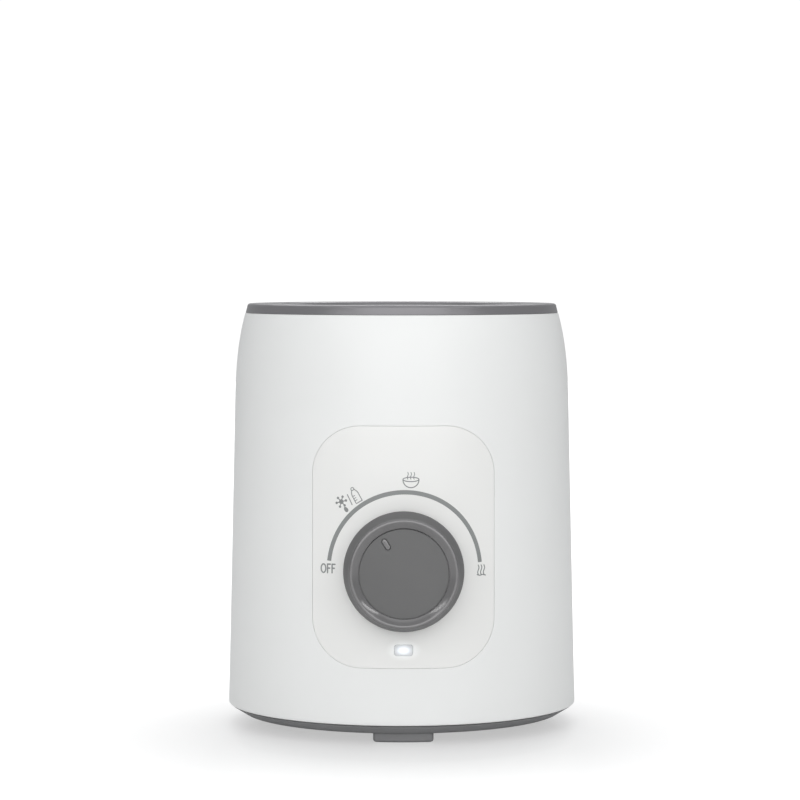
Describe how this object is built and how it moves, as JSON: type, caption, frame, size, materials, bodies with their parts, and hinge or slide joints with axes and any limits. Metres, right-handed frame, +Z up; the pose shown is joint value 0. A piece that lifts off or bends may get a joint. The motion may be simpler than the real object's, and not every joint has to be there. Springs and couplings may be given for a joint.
{
  "type": "bottle warmer",
  "caption": "Round tapered countertop warmer with an open heated water chamber, grey top ring and base, a rotary control dial and a small status light in a flush front panel.",
  "frame": {"origin": "middle of the footprint's bounding box, knob and cord gland included, on the plane the feet stand on", "axes": "+Z up along the chamber, -Y out of the front towards the user, +X to the user's right"},
  "size_m": [0.12, 0.133, 0.1445],
  "materials": {
    "white_gloss": "glossy moulded ABS, very light orange peel",
    "white_panel": "satin-gloss moulded ABS, slightly warmer than the shell",
    "grey_satin": "satin moulded plastic",
    "grey_gloss": "polished moulded plastic",
    "grey_matte": "fine matte texture",
    "grey_liner": "satin moulded polypropylene",
    "base_grey": "fine moulded grain",
    "rubber": "matte rubber",
    "silicone": "matte silicone",
    "aluminium": "turned and lightly brushed",
    "steel": "zinc-plated",
    "brass": "machined",
    "ceramic": "unglazed",
    "board_green": "solder mask",
    "black_plastic": "moulded",
    "blue_plastic": "moulded relay case",
    "cream_plastic": "moulded",
    "clear_lens": "translucent white, lit from behind",
    "label_silver": "satin printed film, left blank",
    "wire_brown": "PVC insulation",
    "wire_blue": "PVC insulation",
    "wire_red": "silicone insulation",
    "wire_white": "PVC insulation"
  },
  "bodies": {
    "housing": {"outer_shell": "white_gloss", "front_panel": "white_panel", "top_ring": "grey_satin", "base_cover": "base_grey", "cord_gland": "rubber", "rating_label": "label_silver", "front_foot": "rubber", "rear_right_foot": "rubber", "rear_left_foot": "rubber", "base_screw_1": "steel", "base_screw_2": "steel", "base_screw_3": "steel", "chamber_liner": "grey_liner", "heating_plate": "aluminium", "plate_seal": "silicone", "clamp_ring": "steel", "clamp_screw_1": "steel", "clamp_screw_2": "steel", "clamp_screw_3": "steel", "ptc_heater": "aluminium", "heater_clamp": "steel", "heater_clamp_screw_1": "steel", "heater_clamp_screw_2": "steel", "thermal_fuse": "ceramic", "fuse_strap": "steel", "temperature_sensor": "black_plastic", "sensor_clip": "steel", "control_board": "board_green", "board_screw_1": "steel", "board_screw_2": "steel", "relay": "blue_plastic", "capacitor": "cream_plastic", "status_led": "clear_lens", "indicator_lens": "clear_lens", "terminal_block": "cream_plastic", "cord_clamp": "black_plastic", "cord_clamp_screw_1": "steel", "cord_clamp_screw_2": "steel", "live_wire": "wire_brown", "neutral_wire": "wire_blue", "heater_wire": "wire_red", "fuse_supply_wire": "wire_red", "fuse_heater_wire": "wire_red", "sensor_lead": "wire_white", "rotary_control": "black_plastic", "spindle_bush": "brass", "bush_nut": "steel"},
    "knob": {"knob_ring": "grey_gloss", "knob_cap": "grey_matte", "knob_pointer": "grey_satin", "control_spindle": "aluminium", "spring_clip": "steel"}
  },
  "joints": [
    {"name": "knob_turn", "type": "hinge", "parent": "housing", "child": "knob", "pos_m": [0, -0.05411, 0.0577], "axis": [0, 1, 0], "range_deg": [-59, 121]}
  ]
}
